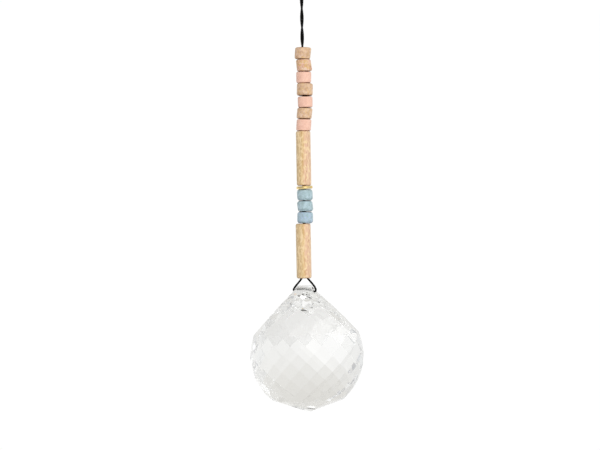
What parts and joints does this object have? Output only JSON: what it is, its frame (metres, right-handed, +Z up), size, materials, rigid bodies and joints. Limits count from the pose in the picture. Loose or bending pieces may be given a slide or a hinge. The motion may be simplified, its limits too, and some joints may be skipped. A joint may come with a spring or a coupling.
{
  "type": "crystal suncatcher",
  "caption": "Clear faceted crystal ball hanging from a thin twisted cord threaded with small wooden beads and tubes; it hangs by a loop and scatters sunlight.",
  "frame": {"origin": "inside top of the cord's hanging loop, where the hook or nail bears", "axes": "+Z up along the hanging cord, +X right, -Y front"},
  "size_m": [0.0399, 0.04, 0.1686],
  "materials": {
    "crystal": "clear cut glass, polished flats",
    "tan_paint": "matte, warm tan",
    "speckled_paint": "matte, rosy tan with darker speckles",
    "pink_paint": "matte, pale coral pink",
    "bare_wood": "bare pale wood, sanded, grain along the tube",
    "gold": "polished gold colour",
    "blue_paint": "matte, grey blue",
    "black_cord": "black waxed thread, slight sheen"
  },
  "bodies": {
    "root": {"crystal_ball": "crystal", "bead_tan_1": "tan_paint", "bead_speckled": "speckled_paint", "bead_pink_1": "pink_paint", "bead_tan_2": "tan_paint", "bead_pink_2": "pink_paint", "bead_tan_3": "tan_paint", "bead_pink_3": "pink_paint", "tube_upper": "bare_wood", "gold_spacer": "gold", "bead_blue_1": "blue_paint", "bead_blue_2": "blue_paint", "bead_blue_3": "blue_paint", "tube_lower": "bare_wood", "cord": "black_cord"}
  },
  "joints": []
}
